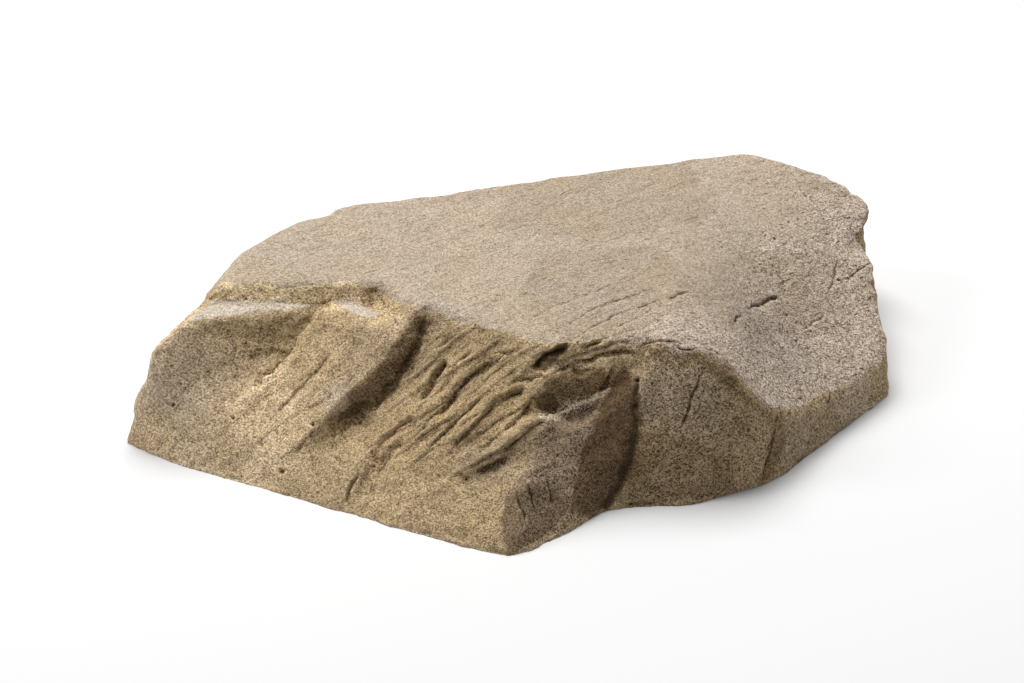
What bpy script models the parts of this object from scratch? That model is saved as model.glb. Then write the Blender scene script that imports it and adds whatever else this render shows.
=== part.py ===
"""A flat sandstone boulder, one piece of stone lying on its broad underside.

The stone is carved the way rock splits. A block is bounded by flat cleavage faces, each set by where its
foot runs in plan and how steeply it rises. Ledges and the steep-sided troughs of split-off slabs are then
taken out of it. Metres, +Z up. In plan +X is to the right of someone who looks along +Y at the front slope.
"""

import math

import bmesh
import bpy
import numpy as np
from mathutils import Vector, noise

# Corners of the foot in plan, anticlockwise from the nose, which points at the viewer
NOSE = (0.000, -0.352)
NOSE_CHEEK = (0.075, -0.300)
NOTCH = (0.125, -0.235)
BLOCK_FRONT = (0.245, -0.228)
BLOCK_CORNER = (0.347, -0.176)
RIGHT_TIP = (0.553, 0.070)
RIGHT_BACK = (0.562, 0.420)
BACK_RIGHT = (0.532, 0.505)
BACK_PEAK = (0.375, 0.567)
BACK_MIDDLE = (0.140, 0.489)
BACK_LEFT = (-0.210, 0.393)
LEFT_BACK = (-0.425, 0.272)
OUTER_PEAK = (0.385, 0.606)
OUTER_MIDDLE = (0.130, 0.522)
OUTER_LEFT = (-0.235, 0.414)
OUTER_END = (-0.405, 0.266)
LEFT_SIDE = (-0.520, 0.030)
LEFT_TIP = (-0.540, -0.065)
LEFT_FRONT = (-0.490, -0.108)
APRON_LEFT = (-0.354, -0.183)
APRON_MIDDLE = (-0.227, -0.250)

# How steeply, in degrees, each wall stands on its foot
STEEP_WALLS = [
    (BLOCK_CORNER, RIGHT_TIP, 81),
    (RIGHT_TIP, RIGHT_BACK, 85),
    (RIGHT_BACK, BACK_RIGHT, 84),
    (BACK_RIGHT, OUTER_PEAK, 80),
    (OUTER_PEAK, OUTER_MIDDLE, 74),
    (OUTER_MIDDLE, OUTER_LEFT, 82),
    (OUTER_LEFT, OUTER_END, 76),
    (OUTER_END, LEFT_SIDE, 76),
    (LEFT_SIDE, LEFT_TIP, 74),
    (LEFT_TIP, LEFT_FRONT, 76),
]
APRON_SLOPES = [(LEFT_FRONT, APRON_MIDDLE, 41), (APRON_MIDDLE, NOSE, 45)]
NOSE_WALLS = [(NOSE, NOSE_CHEEK, 55), (NOSE_CHEEK, NOTCH, 78)]
BLOCK_WALLS = [(NOTCH, BLOCK_FRONT, 68), (BLOCK_FRONT, BLOCK_CORNER, 82)]
LEFT_SHOULDER = (LEFT_FRONT, APRON_LEFT, 62)

# Bevels that start above the ground: a level line in plan, a slope and the height of the line
BLOCK_BROW = ((0.140, -0.172), (0.260, -0.182), 48, 0.150)
LEFT_BROWS = [
    ((-0.436, 0.100), (-0.516, -0.100), 45, 0.140),
    ((-0.437, 0.100), (-0.467, -0.100), 58, 0.140),
]
CORNER_BROW = ((-0.356, 0.195), (-0.408, 0.106), 66, 0.200)

# The back is stepped: each upper wall stands on a shelf that slopes outward
BACK_STEPS = [
    ((BACK_RIGHT, BACK_PEAK, 72), (BACK_RIGHT, BACK_PEAK, 30, 0.040)),
    ((BACK_PEAK, BACK_MIDDLE, 72), (OUTER_PEAK, OUTER_MIDDLE, 16, 0.098)),
    ((BACK_MIDDLE, BACK_LEFT, 76), (OUTER_MIDDLE, OUTER_LEFT, 28, 0.060)),
    ((BACK_LEFT, LEFT_BACK, 72), (OUTER_LEFT, OUTER_END, 12, 0.118)),
]

# The top, and the bank that falls from it to the right, each through three points
PLATEAU = ((-0.200, 0.040, 0.200), (0.100, -0.140, 0.200), (0.360, 0.470, 0.212))
BANK = ((0.393, -0.102, 0.058), (0.541, 0.074, 0.060), (0.232, 0.188, 0.203))
BANK_CORNER = ((0.282, -0.175, 0.172), (0.360, -0.147, 0.082), (0.300, 0.120, 0.180))

# A pair of flat ledges below the front of the top, the riser behind them and the flank below the left one
LEDGE_HEIGHT = 0.175
RISER = [
    ((-0.50, 0.024), (-0.20, 0.030), 80, LEDGE_HEIGHT),
    ((-0.20, 0.030), (-0.145, -0.045), 50, LEDGE_HEIGHT),
]
FLANK = ((-0.443, -0.034), (-0.270, 0.008), 72, LEDGE_HEIGHT)
SHELF = ((-0.470, -0.056, 0.129), (-0.297, -0.211, 0.000), (-0.312, -0.021, 0.119))

# Troughs on the front: crest points (x, y, depth) from the upper end, then the reach of the trough
SLAB_TROUGH = [
    (-0.125, -0.040, 0.026),
    (-0.152, -0.080, 0.034),
    (-0.210, -0.116, 0.032),
    (-0.253, -0.132, 0.022),
    (-0.300, -0.158, 0.003),
]
SLAB_REACH = 0.10
TROUGHS = [
    ([(-0.395, -0.095, 0.004), (-0.309, -0.047, 0.012), (-0.262, 0.012, 0.010)], 0.08),
    ([(-0.200, -0.020, 0.004), (-0.228, -0.070, 0.006), (-0.300, -0.110, 0.003)], 0.03),
    (
        [(-0.125, -0.172, 0.004), (-0.169, -0.183, 0.013), (-0.205, -0.212, 0.012), (-0.224, -0.237, 0.002)],
        0.05,
    ),
    ([(-0.040, -0.130, 0.006), (-0.076, -0.147, 0.010), (-0.115, -0.168, 0.005)], 0.035),
    ([(0.020, -0.176, 0.005), (-0.042, -0.198, 0.014), (-0.085, -0.219, 0.005)], 0.04),
    ([(0.048, -0.212, 0.010), (0.010, -0.234, 0.015), (-0.060, -0.250, 0.008)], 0.045),
    ([(0.150, -0.130, 0.010), (0.076, -0.142, 0.018), (0.005, -0.158, 0.010)], 0.024),
    (
        [(0.162, -0.140, 0.012), (0.116, -0.153, 0.026), (0.063, -0.176, 0.026), (0.022, -0.196, 0.010)],
        0.034,
    ),
]

# Steep-sided chips that run down the end and back walls
WALL_CHIPS = [
    ([(0.620, 0.330, 0.012), (0.535, 0.340, 0.007)], 0.06),
    ([(0.270, 0.480, 0.004), (0.300, 0.535, 0.020), (0.285, 0.620, 0.024)], 0.13),
    ([(-0.010, 0.380, 0.004), (-0.024, 0.430, 0.016), (-0.080, 0.520, 0.020)], 0.16),
    ([(-0.260, 0.270, 0.004), (-0.300, 0.316, 0.018), (-0.370, 0.370, 0.020)], 0.12),
]
TROUGH_WALL = 0.007
TROUGH_FADE = 0.02

# Rounding where two faces meet
CRISP = 0.006
SHARP = 0.009
VALLEY = 0.018
SOFT = 0.060

# Slow unevenness of every face: size of the swells and how high they stand
SWELLS = [(0.16, 0.0045), (0.055, 0.0022)]

# The surface is found along rays from a point below the ground, through a level grid of targets
HEART = np.array((0.0, 0.05, -0.22))
GRID_HALF = (0.66, 0.53)
GRID_MIDDLE = (0.02, 0.05, 0.24)
GRID_SPACING = 0.004
LONGEST_RAY = 1.1
TROUGH_STEP = 0.003
TROUGH_STEPS = 24
HALVINGS = 14
SMOOTHINGS = 2
KEPT_SHARE = 0.058
SHORTEST_EDGE = 0.0006

STONE_COLOR = (0.40, 0.32, 0.22, 1.0)
STONE_ROUGHNESS = 0.9


def rising_face(points, start, end, slope, height=0.0):
    """Distance outside a face that rises at slope degrees from a level line drawn in plan from start to end."""
    along = np.subtract(end, start)
    along = along / np.linalg.norm(along)
    lean = math.radians(slope)
    normal = np.array([along[1] * math.sin(lean), -along[0] * math.sin(lean), math.cos(lean)])
    return (points - np.array([*start, height])) @ normal


def face_through(points, a, b, c):
    """Distance above the plane through three points, which run anticlockwise seen from above."""
    normal = np.cross(np.subtract(b, a), np.subtract(c, a))
    normal = normal / np.linalg.norm(normal)
    return (points - np.array(a)) @ normal


def meet(distances, rounding):
    """The stone that is inside all of these faces, with rounded edges."""
    result = distances[0]
    for other in distances[1:]:
        near = np.maximum(rounding - np.abs(result - other), 0) / rounding
        result = np.maximum(result, other) + near * near * rounding / 4
    return result


def join(distances, rounding):
    """The stone that is inside any of these faces, with filled corners."""
    return -meet([-d for d in distances], rounding)


def ease(x):
    """0 below 0, 1 above 1, and an even curve between."""
    x = np.clip(x, 0, 1)
    return x * x * (3 - 2 * x)


def trough(points, crest, reach):
    """How deep a trough is cut. On the left hand of its crest, walked from the upper end, the stone drops to
    the crest's depth and then rises back over the trough's reach."""
    nearest = np.full(len(points), np.inf)
    cut = np.zeros(len(points))
    legs = list(zip(crest, crest[1:]))
    for leg in legs:
        (x0, y0, depth0), (x1, y1, depth1) = leg
        length = math.hypot(x1 - x0, y1 - y0)
        step_x, step_y = (x1 - x0) / length, (y1 - y0) / length
        dx, dy = points[:, 0] - x0, points[:, 1] - y0
        along = dx * step_x + dy * step_y
        side = step_x * dy - step_y * dx
        held = np.clip(along, 0, length)
        apart = np.hypot(along - held, side)
        beyond = np.zeros(len(points))
        if leg is legs[0]:
            beyond = np.maximum(beyond, -along)
        if leg is legs[-1]:
            beyond = np.maximum(beyond, along - length)
        depth = depth0 + (depth1 - depth0) * held / length
        out = apart * np.sign(side)
        profile = ease(out / TROUGH_WALL) * np.clip(1 - out / reach, 0, 1)
        cut = np.where(apart < nearest, depth * profile * ease(1 - beyond / TROUGH_FADE), cut)
        nearest = np.minimum(apart, nearest)
    return cut


def block(p):
    """Distance outside the block and its ledges, before any trough is cut."""
    apron = meet([rising_face(p, *face) for face in APRON_SLOPES], SHARP)
    left = meet([rising_face(p, *LEFT_SHOULDER), face_through(p, *SHELF)], SOFT)
    nose = meet([rising_face(p, *face) for face in NOSE_WALLS], SHARP)
    right = meet([rising_face(p, *face) for face in [*BLOCK_WALLS, BLOCK_BROW]], SHARP)
    fronts = [join([apron, left, rising_face(p, *FLANK)], CRISP), join([nose, right], VALLEY)]
    walls = [rising_face(p, *face) for face in [*STEEP_WALLS, CORNER_BROW]]
    walls.append(join([rising_face(p, *face) for face in LEFT_BROWS], CRISP))
    bank = join([face_through(p, *BANK), face_through(p, *BANK_CORNER)], SOFT)
    top = meet([face_through(p, *PLATEAU), bank], SOFT)
    riser = join([rising_face(p, *face) for face in RISER], SHARP)
    ledges = join([p[:, 2] - LEDGE_HEIGHT, riser], CRISP)
    steps = [join([rising_face(p, *wall), rising_face(p, *shelf)], SHARP) for wall, shelf in BACK_STEPS]
    return meet([meet([*fronts, *walls, *steps, top], SHARP), ledges], CRISP)


def stone(p):
    """Distance outside the finished stone."""
    cut = trough(p, SLAB_TROUGH, SLAB_REACH)
    for crest, reach in TROUGHS + WALL_CHIPS:
        cut += trough(p, crest, reach)
    return block(p) + cut


def between(inside, near, far, rays):
    """Halves the stretch of each ray from near to far until it ends at the surface."""
    for _ in range(HALVINGS):
        middle = (near + far) / 2
        held = inside(HEART + rays * middle[:, None]) < 0
        near, far = np.where(held, middle, near), np.where(held, far, middle)
    return near


def reach_surface(rays):
    """How far along each ray from the heart the last of the stone is."""
    count = len(rays)
    outer = between(block, np.zeros(count), np.full(count, LONGEST_RAY), rays)
    near = np.maximum(outer - TROUGH_STEPS * TROUGH_STEP, 0)
    for step in reversed(range(TROUGH_STEPS)):
        place = outer - step * TROUGH_STEP
        near = np.where(stone(HEART + rays * place[:, None]) < 0, place, near)
    return between(stone, near, near + TROUGH_STEP, rays)


def unevenness(place):
    """How far the surface stands out at a place, from swells of each size."""
    return sum(high * noise.noise(place / size) for size, high in SWELLS)


def carved_sheet():
    """A level grid whose points are moved along rays from the heart to the surface, down past the ground."""
    sheet = bmesh.new()
    segments = [round(2 * half / GRID_SPACING) for half in GRID_HALF]
    bmesh.ops.create_grid(sheet, x_segments=segments[0], y_segments=segments[1], size=1)
    rays = np.array([v.co for v in sheet.verts]) * (*GRID_HALF, 0) + GRID_MIDDLE
    rays /= np.linalg.norm(rays, axis=1)[:, None]
    places = HEART + rays * reach_surface(rays)[:, None]
    for vertex, place, ray in zip(sheet.verts, places, rays):
        vertex.co = Vector(place) + Vector(ray) * unevenness(Vector(place))
    for _ in range(SMOOTHINGS):
        bmesh.ops.smooth_vert(
            sheet, verts=sheet.verts, factor=0.5, use_axis_x=True, use_axis_y=True, use_axis_z=True
        )
    bmesh.ops.triangulate(sheet, faces=sheet.faces, quad_method="SHORT_EDGE")
    return sheet


def thinned(sheet):
    """The same sheet with fewer triangles where it is flat."""
    mesh = bpy.data.meshes.new("sheet")
    sheet.to_mesh(mesh)
    sheet.free()
    holder = bpy.data.objects.new("sheet", mesh)
    bpy.context.scene.collection.objects.link(holder)
    thin = holder.modifiers.new("fewer_triangles", "DECIMATE")
    thin.ratio = KEPT_SHARE
    fewer = bmesh.new()
    fewer.from_object(holder, bpy.context.evaluated_depsgraph_get())
    bpy.data.objects.remove(holder)
    return fewer


def close_at_ground(sheet):
    """Cuts the sheet off at the ground and closes it with a flat underside."""
    everything = sheet.verts[:] + sheet.edges[:] + sheet.faces[:]
    bmesh.ops.bisect_plane(
        sheet, geom=everything, plane_co=(0, 0, 0), plane_no=(0, 0, -1), clear_outer=True
    )
    bmesh.ops.remove_doubles(sheet, verts=sheet.verts, dist=SHORTEST_EDGE)
    for vertex in sheet.verts:
        if vertex.is_boundary:
            vertex.co.z = 0
    rim = [edge for edge in sheet.edges if edge.is_boundary]
    bmesh.ops.holes_fill(sheet, edges=rim)
    bmesh.ops.triangulate(sheet, faces=sheet.faces)
    bmesh.ops.recalc_face_normals(sheet, faces=sheet.faces)


def centre_in_plan(sheet):
    """Moves the stone so that the middle of its box, on the ground, is the origin."""
    places = np.array([v.co for v in sheet.verts])
    middle = (places.min(axis=0) + places.max(axis=0)) / 2
    bmesh.ops.translate(sheet, verts=sheet.verts, vec=(-middle[0], -middle[1], 0))


def clear_scene():
    for obj in list(bpy.data.objects):
        bpy.data.objects.remove(obj)


def stone_material():
    material = bpy.data.materials.new("sandstone")
    material.use_nodes = True
    shader = material.node_tree.nodes["Principled BSDF"]
    shader.inputs["Base Color"].default_value = STONE_COLOR
    shader.inputs["Roughness"].default_value = STONE_ROUGHNESS
    return material


def main():
    clear_scene()
    sheet = thinned(carved_sheet())
    close_at_ground(sheet)
    centre_in_plan(sheet)
    mesh = bpy.data.meshes.new("boulder")
    sheet.to_mesh(mesh)
    sheet.free()
    boulder = bpy.data.objects.new("boulder", mesh)
    bpy.context.scene.collection.objects.link(boulder)
    mesh.materials.append(stone_material())


main()
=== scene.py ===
"""How the sandstone boulder looks: its fine surface, its colour and the light on it."""

import math

import bpy
import numpy as np
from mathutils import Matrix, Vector
from mathutils.bvhtree import BVHTree


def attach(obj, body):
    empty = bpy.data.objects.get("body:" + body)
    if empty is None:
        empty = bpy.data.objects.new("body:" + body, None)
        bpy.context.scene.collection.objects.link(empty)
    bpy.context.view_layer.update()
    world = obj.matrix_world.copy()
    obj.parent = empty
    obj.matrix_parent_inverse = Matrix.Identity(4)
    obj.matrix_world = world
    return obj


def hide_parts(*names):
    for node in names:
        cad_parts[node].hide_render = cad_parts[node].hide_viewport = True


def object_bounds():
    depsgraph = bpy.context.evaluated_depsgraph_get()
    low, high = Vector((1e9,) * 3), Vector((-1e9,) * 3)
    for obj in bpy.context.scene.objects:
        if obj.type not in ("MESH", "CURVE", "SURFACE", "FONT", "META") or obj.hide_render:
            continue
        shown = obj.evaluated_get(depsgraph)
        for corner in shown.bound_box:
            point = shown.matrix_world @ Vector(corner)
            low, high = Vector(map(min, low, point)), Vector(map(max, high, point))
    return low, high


# Camera and the pixel positions that features are placed by, for an image of this size
IMAGE = (1024, 683)
FOCAL_PX = 1991.0
CAMERA_ELEVATION = 28.0
CAMERA_DISTANCE = 2.79
AIM = Vector((-0.0111, -0.1239, 0.125))
SENSOR_WIDTH = 36.0

# The tables below give small lengths in millimetres
MM = 0.001
MM_PER_METRE = 1000

# A distance larger than any on the stone, and how far a groove, crack or pit can reach
FAR = 1e9
PATH_REACH = 0.035

# Fine mesh. Where the crevice mask is above LINE_LEAST, thinning spares its small faces by LINE_KEPT
VOXEL = 0.0021
FACET_SMOOTHING = 3
TRIANGLES = 192000
LINE_LEAST = 0.04
LINE_KEPT = 0.9

# Fine relief, in metres. Chips: height, size, share of the size that the joint takes, and seed
LUMP_HEIGHT = 0.0013
LUMP_SIZE = 0.034
BEND_HEIGHT = 0.004
BEND_SIZE = 0.02
CHIPS = [(0.0022, 0.036, 0.2, 5), (0.0012, 0.013, 0.3, 9)]

# Flakes on the split part of the front and on the rest of it: height, thickness and seed
SPLIT_FLAKES = [(0.0046, 0.024, 41), (0.0012, 0.010, 42)]
PLAIN_FLAKES = (0.0010, 0.026, 43)
FLAKE_LENGTH = 5.5
FLAKE_WIDTH = 3.0

# Where the top, the ledges and the bank end: how wide their edges blend in metres, how level the surface is
# there (the upward part of its normal, and the blend), and the line in plan that the bank starts at
RIM_BLEND = 0.007
LEDGE_BLEND = 0.006
TOP_LEVEL = (0.52, 0.16)
LEDGE_LEVEL = (0.7, 0.1)
FRONT_LEVEL = (0.3, 0.2)
BANK_SLANT = 0.49
BANK_START = 0.32
BANK_BLEND = 0.16

# Thin layers that the top is split into, and the rougher bank
LAYERS_ACROSS = np.array((-0.62, 0.78, 0.12))
LAYERS_ALONG = np.array((0.78, 0.62, 0))
LAYERS_NARROWED = 0.16
LAYER_SIZE = 0.008
LAYER_DEPTH = 0.0009
BANK_RELIEF = 0.0008

# Coarse grain: height, size, seed, and its share on even stone and what broken stone adds
COARSE_GRAIN = [(0.0003, 0.0055, 71, 0.25, 0.75), (0.0005, 0.0100, 72, 0.15, 0.85)]

# Rims: how deep they are chipped and how far they stray
RIM_CHIP = 0.0045
RIM_WAVER = 0.0060

# The surface is sunk a little to stay inside the solid's box, and its relief fades towards the ground
SUNK_BY = 0.0006
FOOT_HEIGHT = 0.012
FOOT_RELIEF = 0.4
UNDERSIDE_HEIGHT = 0.004

# The front slope is split into flakes: the way they run, and the normal of the planes they part along
FLAKES_RUN = np.array((-0.84, -0.43, -0.33))
CLEAVAGE = np.array((-0.535, 0.713, 0.453))

# The rim between the top and the front, in pixels from left to right, and the outlines of the ledges below it
FRONT_RIM = [
    (214, 286), (224, 283), (300, 286), (330, 285), (362, 283), (382, 291), (398, 304), (420, 311),
    (450, 318), (482, 330), (520, 337), (545, 343), (568, 342), (600, 339), (640, 346), (690, 350),
    (722, 362), (744, 380), (760, 397), (776, 413), (800, 406), (826, 394), (857, 380), (884, 370),
]
LEDGES = [
    [(188, 314), (212, 297), (330, 300), (316, 305), (262, 313), (188, 323)],
    [(334, 300), (354, 298), (380, 313), (372, 319), (352, 312)],
]

# Where the front is split into flakes, in pixels
SPLIT = [
    (424, 316), (480, 330), (545, 345), (612, 352), (560, 376), (530, 398), (545, 418), (530, 442),
    (500, 470), (440, 474), (372, 456), (380, 420), (410, 366),
]

# Steep-sided grooves on the front: depth, width of the steep side, reach of the gentle side (mm), and the
# path in pixels from its upper end. The gentle side is on the path's left in the image, or on its right if
# the reach is negative. A negative depth raises the stone. All depths are multiplied by GROOVE_DEPTH. A line
# strays from its path by waves, each with a height and size in metres and a seed
GROOVE_DEPTH = 1.4
GROOVE_WAVES = [(0.0020, 0.018, 0), (0.0012, 0.005, 0)]
GROOVE_START = 0.014
GROOVE_END = 0.022
GROOVES = [
    (9, 6.0, 20, [(444, 358), (438, 364), (431, 374), (426, 384), (420, 394), (414, 402)]),
    (6, 4.0, 18, [(500, 356), (486, 362), (470, 375), (458, 388), (446, 402), (437, 418)]),
    (3, 2.4, 14, [(470, 348), (455, 362), (446, 376), (436, 394)]),
    (9, 6.0, 22, [
        (523, 385), (510, 390), (500, 396), (489, 404), (482, 414), (474, 424), (462, 435), (451, 447),
    ]),
    (5, 3.0, 16, [(532, 394), (520, 414), (503, 429), (490, 440), (476, 450)]),
    (8, 6.0, 16, [(548, 416), (536, 421), (524, 431), (512, 442), (500, 451)]),
    (6, 4.0, 14, [(506, 456), (492, 464), (474, 469)]),
    (4, 2.4, 10, [(478, 396), (462, 412), (448, 425), (434, 440), (424, 453)]),
    (3, 2.0, 10, [(452, 398), (438, 410), (424, 424), (410, 440)]),
    (7, 6.0, 20, [(414, 416), (402, 421), (390, 432), (378, 442), (370, 452), (366, 466)]),
    (5, 3.5, 12, [(356, 472), (348, 486), (343, 504)]),
    (3, 3.0, 16, [(330, 352), (318, 366), (302, 382), (286, 400), (274, 416)]),
    (4, 3.0, -18, [(318, 309), (306, 328), (294, 345), (284, 358), (270, 376), (256, 392)]),
    (4, 3.5, 20, [(290, 351), (272, 347), (258, 348), (246, 356)]),
    (11, 5.0, 12, [(569, 344), (558, 348), (547, 354), (537, 362), (530, 369)]),
    (6, 3.0, 9, [(602, 339), (590, 342), (578, 347)]),
    (6, 4.0, 12, [(614, 360), (610, 371), (605, 382), (597, 391)]),
    (5, 3.0, 12, [(640, 354), (624, 350), (606, 351)]),
    (2, 3.0, 12, [(322, 426), (312, 432), (300, 444), (291, 458)]),
    (4, 2.4, 10, [(456, 334), (444, 340), (434, 350)]),
    (3, 2.4, 10, [(520, 348), (508, 352), (494, 352)]),
    (3, 2.4, 12, [(540, 372), (528, 378), (512, 380)]),
    (5, 2.5, 9, [(622, 349), (602, 354), (580, 360), (560, 368), (546, 375)]),
    (4, 2.2, 8, [(616, 342), (596, 348), (578, 354), (562, 359)]),
    (-4, 3.0, 10, [(612, 386), (592, 397), (574, 404), (556, 413), (542, 418)]),
]

# Thin cracks: depth and half width (mm), and the path in pixels. CRACK_DEPTH and CRACK_WIDTH multiply them
CRACK_DEPTH = 1.3
CRACK_WIDTH = 1.1
CRACK_WAVES = [(0.0022, 0.012, 30), (0.0008, 0.004, 90)]
CRACK_TAPER = 0.012
CRACKS = [
    (1.6, 1.0, [(531, 317), (548, 309), (566, 300)]),
    (2.2, 1.2, [(566, 324), (590, 310), (612, 301), (624, 298)]),
    (2.2, 1.2, [(580, 334), (600, 322), (625, 310), (656, 301)]),
    (1.8, 1.1, [(616, 327), (636, 317), (653, 308)]),
    (2.8, 1.5, [(668, 299), (679, 294), (688, 290)]),
    (1.4, 1.0, [(598, 308), (620, 299), (640, 292), (664, 283)]),
    (1.2, 1.0, [(662, 253), (680, 247), (697, 242)]),
    (1.2, 1.0, [(628, 246), (642, 240), (656, 235)]),
    (1.4, 1.0, [(560, 305), (590, 292), (625, 280)]),
    (1.6, 1.1, [(600, 341), (622, 332), (648, 327)]),
    (1.8, 1.2, [(640, 346), (660, 341), (686, 343)]),
    (2.4, 1.4, [(672, 347), (690, 349), (712, 349), (722, 355)]),
    (3.2, 1.8, [(734, 321), (743, 315)]),
    (4.2, 2.2, [(747, 309), (756, 305), (763, 303), (770, 299), (779, 296)]),
    (1.6, 1.1, [(781, 292), (784, 281), (776, 271)]),
    (2.0, 1.3, [(838, 262), (835, 272), (833, 282), (827, 292)]),
    (2.4, 1.2, [(834, 279), (848, 278), (858, 271), (870, 262)]),
    (1.8, 1.1, [(802, 331), (814, 322), (827, 314)]),
    (2.6, 2.0, [(637, 378), (637, 392), (635, 410)]),
    (2.0, 2.0, [(704, 366), (698, 384), (690, 400), (682, 436)]),
    (2.2, 2.2, [(778, 414), (774, 436), (770, 456), (762, 476)]),
    (2.4, 1.8, [(828, 384), (830, 398), (826, 414)]),
    (2.0, 1.5, [(516, 492), (522, 508), (526, 522)]),
    (2.0, 1.5, [(528, 484), (534, 504), (538, 516)]),
    (2.0, 1.5, [(546, 478), (551, 494), (556, 506)]),
    (1.2, 1.0, [(440, 205), (462, 212), (480, 214)]),
    (1.2, 1.0, [(520, 200), (542, 206), (566, 205)]),
    (1.2, 1.0, [(268, 240), (290, 246), (304, 252)]),
]

# Pits: depth and radius (mm), and where they are in pixels
PITS = [
    (4, 2.6, (775, 238)),
    (3, 2.0, (783, 228)),
    (3, 2.2, (789, 222)),
    (3, 2.0, (798, 219)),
    (5, 3.0, (806, 195)),
    (3, 2.0, (781, 210)),
    (5, 3.0, (797, 341)),
    (3, 2.0, (838, 199)),
    (3, 2.2, (735, 265)),
    (3, 2.2, (623, 268)),
    (3, 2.0, (606, 258)),
    (3, 2.0, (858, 271)),
    (6, 3.2, (637, 379)),
    (5, 4.0, (282, 471)),
    (4, 3.0, (312, 424)),
    (3, 2.4, (172, 366)),
    (3, 2.4, (246, 343)),
    (4, 3.0, (173, 404)),
    (3, 2.4, (233, 418)),
    (3, 2.4, (336, 457)),
    (2.4, 2.0, (545, 331)),
    (2.4, 2.0, (552, 314)),
]

# Faces with a colour of their own, and places with painted shade and painted light: for each kind the share
# and the outline in pixels
FACES = {
    "nose_grey": [
        (0.9, [
            (546, 421), (575, 414), (606, 389), (598, 412), (592, 430), (580, 458), (575, 480), (572, 507),
            (555, 527), (530, 545), (508, 558), (502, 535), (503, 503), (520, 480), (535, 462), (543, 440),
        ]),
        (0.7, [(346, 390), (362, 383), (376, 386), (370, 402), (352, 412)]),
    ],
    # The nose's dark face: brown stone, darkened further as painted shade
    "nose_brown_and_shade": [
        (1.0, [
            (609, 386), (614, 372), (624, 366), (634, 378), (638, 440), (626, 478), (608, 508), (592, 518),
            (570, 512), (574, 484), (580, 458), (592, 430), (600, 410),
        ]),
    ],
    # Painted light on the strip and the lip in the pockets and on the slab's crest
    "lit": [
        (1.0, [
            (610, 386), (590, 395), (575, 401), (560, 407), (541, 416), (541, 423), (560, 420), (576, 414),
            (592, 404), (610, 393),
        ]),
        (0.35, [(538, 370), (560, 364), (600, 359), (622, 354), (602, 365), (572, 369), (548, 378)]),
        (0.2, [
            (400, 312), (414, 314), (396, 336), (382, 354), (362, 378), (348, 388), (352, 372), (380, 340),
        ]),
    ],
    # Painted shade on the slab's wall, in the pockets and the notch, under the ledge and the rims and at the
    # foot of the nose, with darker stains and tones on the top, the front and the right wall
    "shade_and_stain": [
        (0.45, [
            (416, 314), (427, 317), (425, 332), (413, 358), (398, 380), (386, 400), (373, 408), (352, 424),
            (332, 432), (322, 421), (335, 403), (350, 389), (364, 379), (378, 366), (386, 352), (398, 338),
        ]),
        (0.75, [
            (422, 320), (428, 322), (426, 336), (414, 361), (399, 383), (387, 402), (372, 409), (376, 400),
            (388, 384), (398, 366), (411, 346), (418, 332),
        ]),
        (0.75, [(350, 404), (362, 399), (372, 402), (364, 412), (350, 421), (336, 426), (338, 416)]),
        (0.75, [
            (569, 342), (558, 344), (545, 350), (536, 358), (529, 367), (538, 370), (549, 365), (560, 357),
            (568, 350),
        ]),
        (0.55, [
            (541, 373), (560, 372), (585, 368), (601, 369), (609, 376), (606, 390), (590, 395), (576, 396),
            (562, 401), (549, 394), (543, 383),
        ]),
        (0.75, [(532, 396), (546, 391), (558, 397), (562, 407), (546, 413), (535, 409)]),
        (0.60, [
            (636, 376), (640, 400), (640, 440), (628, 480), (608, 510), (600, 508), (618, 476), (630, 440),
            (632, 400),
        ]),
        (0.30, [
            (505, 500), (530, 484), (560, 490), (572, 505), (555, 527), (530, 545), (508, 557), (502, 530),
        ]),
        (0.30, [
            (700, 357), (722, 366), (744, 384), (762, 401), (776, 415), (776, 426), (758, 413), (738, 395),
            (716, 377), (700, 368),
        ]),
        (0.35, [(640, 348), (700, 350), (722, 356), (738, 371), (700, 366), (660, 362)]),
        (0.40, [(778, 412), (786, 420), (784, 450), (768, 482), (758, 486), (768, 452), (772, 425)]),
        (0.30, [
            (190, 322), (258, 312), (318, 306), (312, 322), (290, 342), (276, 346), (250, 338), (200, 332),
        ]),
        (0.25, [(477, 326), (512, 331), (520, 344), (500, 350), (482, 344)]),
        (0.14, [(395, 408), (440, 400), (520, 440), (500, 470), (440, 476), (385, 470), (360, 440)]),
        (0.14, [(540, 252), (660, 246), (700, 290), (640, 335), (560, 338), (516, 300)]),
        (0.12, [(520, 172), (690, 158), (715, 215), (600, 244), (490, 228)]),
        (0.08, [(700, 262), (780, 250), (860, 262), (876, 300), (820, 336), (745, 334), (690, 300)]),
        (0.14, [(428, 322), (520, 340), (560, 380), (530, 430), (470, 420), (410, 400), (404, 376)]),
        (0.25, [(642, 430), (700, 440), (740, 470), (730, 500), (640, 506), (618, 506), (632, 470)]),
    ],
}

# Bumps and notches of the outline, pushed out from the middle: height and radius (mm), and where, in pixels
BUMPS = [
    (16, 30, (860, 210)), (-8, 22, (861, 238)), (5, 18, (867, 264)), (-5, 14, (872, 282)),
    (5, 30, (140, 400)), (6, 26, (262, 230)), (-6, 22, (290, 217)), (6, 24, (332, 209)),
    (-6, 20, (470, 198)), (7, 26, (560, 182)), (-6, 24, (640, 171)), (6, 24, (700, 163)),
    (-5, 20, (400, 203)), (5, 18, (430, 201)), (5, 20, (820, 176)),
]
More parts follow.
